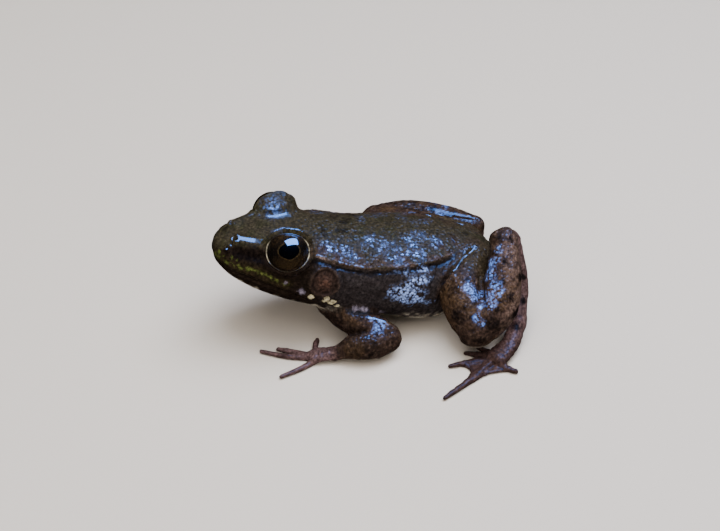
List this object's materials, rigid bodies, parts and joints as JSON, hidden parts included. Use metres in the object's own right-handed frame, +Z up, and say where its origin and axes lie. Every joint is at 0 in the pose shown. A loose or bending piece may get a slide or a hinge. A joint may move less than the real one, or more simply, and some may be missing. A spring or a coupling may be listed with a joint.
{
  "type": "green frog model, young frog at rest",
  "caption": "Life-size still model of a young green frog sitting with its hind legs folded, head up and fingers spread.",
  "frame": {"origin": "on the floor, under the middle of the box round the whole frog", "axes": "+X to the frog's left, -Y to its front, +Z up"},
  "size_m": [0.0412, 0.044, 0.0191],
  "materials": {
    "head_skin": "wet skin, satin",
    "throat_skin": "wet skin, satin",
    "back_skin": "wet skin, granular",
    "limb_skin": "wet skin, satin",
    "foot_skin": "wet skin, satin",
    "eardrum": "smooth, satin",
    "eye": "clear and glossy"
  },
  "bodies": {
    "root": {"head": "head_skin", "lower_jaw": "throat_skin", "torso": "back_skin", "eye_left": "eye", "eye_right": "eye", "tympanum_left": "eardrum", "tympanum_right": "eardrum", "upper_arm_left": "limb_skin", "upper_arm_right": "limb_skin", "forearm_left": "limb_skin", "forearm_right": "limb_skin", "hand_left": "foot_skin", "hand_right": "foot_skin", "thigh_left": "limb_skin", "thigh_right": "limb_skin", "shank_left": "limb_skin", "shank_right": "limb_skin", "tarsus_left": "limb_skin", "tarsus_right": "limb_skin", "foot_left": "foot_skin", "foot_right": "foot_skin"}
  },
  "joints": []
}
